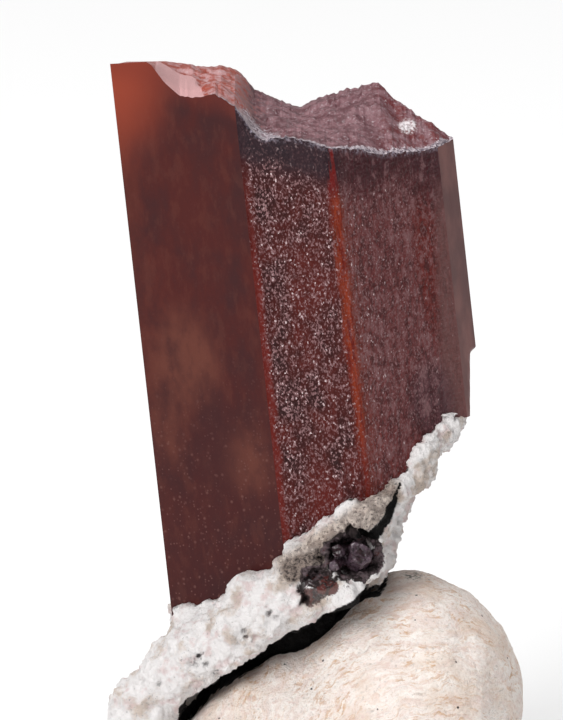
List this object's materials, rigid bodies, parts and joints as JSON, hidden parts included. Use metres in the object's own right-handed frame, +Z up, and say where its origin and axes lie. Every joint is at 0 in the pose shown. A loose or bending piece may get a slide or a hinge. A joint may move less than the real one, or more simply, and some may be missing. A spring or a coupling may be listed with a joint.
{
  "type": "topaz crystal specimen",
  "caption": "Dark red-brown topaz prism with flat sides and a broken top, standing in a white rhyolite crust on a rounded beige stone.",
  "frame": {"origin": "on the ground under the middle of the specimen's bounding box", "axes": "+Z up, with the specimen resting as in the picture; -Y towards the viewer of the picture, +X to that viewer's right"},
  "size_m": [0.0188, 0.0127, 0.0345],
  "materials": {
    "red_brown_topaz": "satin, frosted on the middle faces",
    "white_rhyolite": "matt and sugary",
    "dark_red_topaz": "glossy",
    "beige_rhyolite": "matt"
  },
  "bodies": {
    "root": {"topaz_crystal": "red_brown_topaz", "matrix_crust": "white_rhyolite", "pocket_crystals": "dark_red_topaz", "host_stone": "beige_rhyolite"}
  },
  "joints": []
}
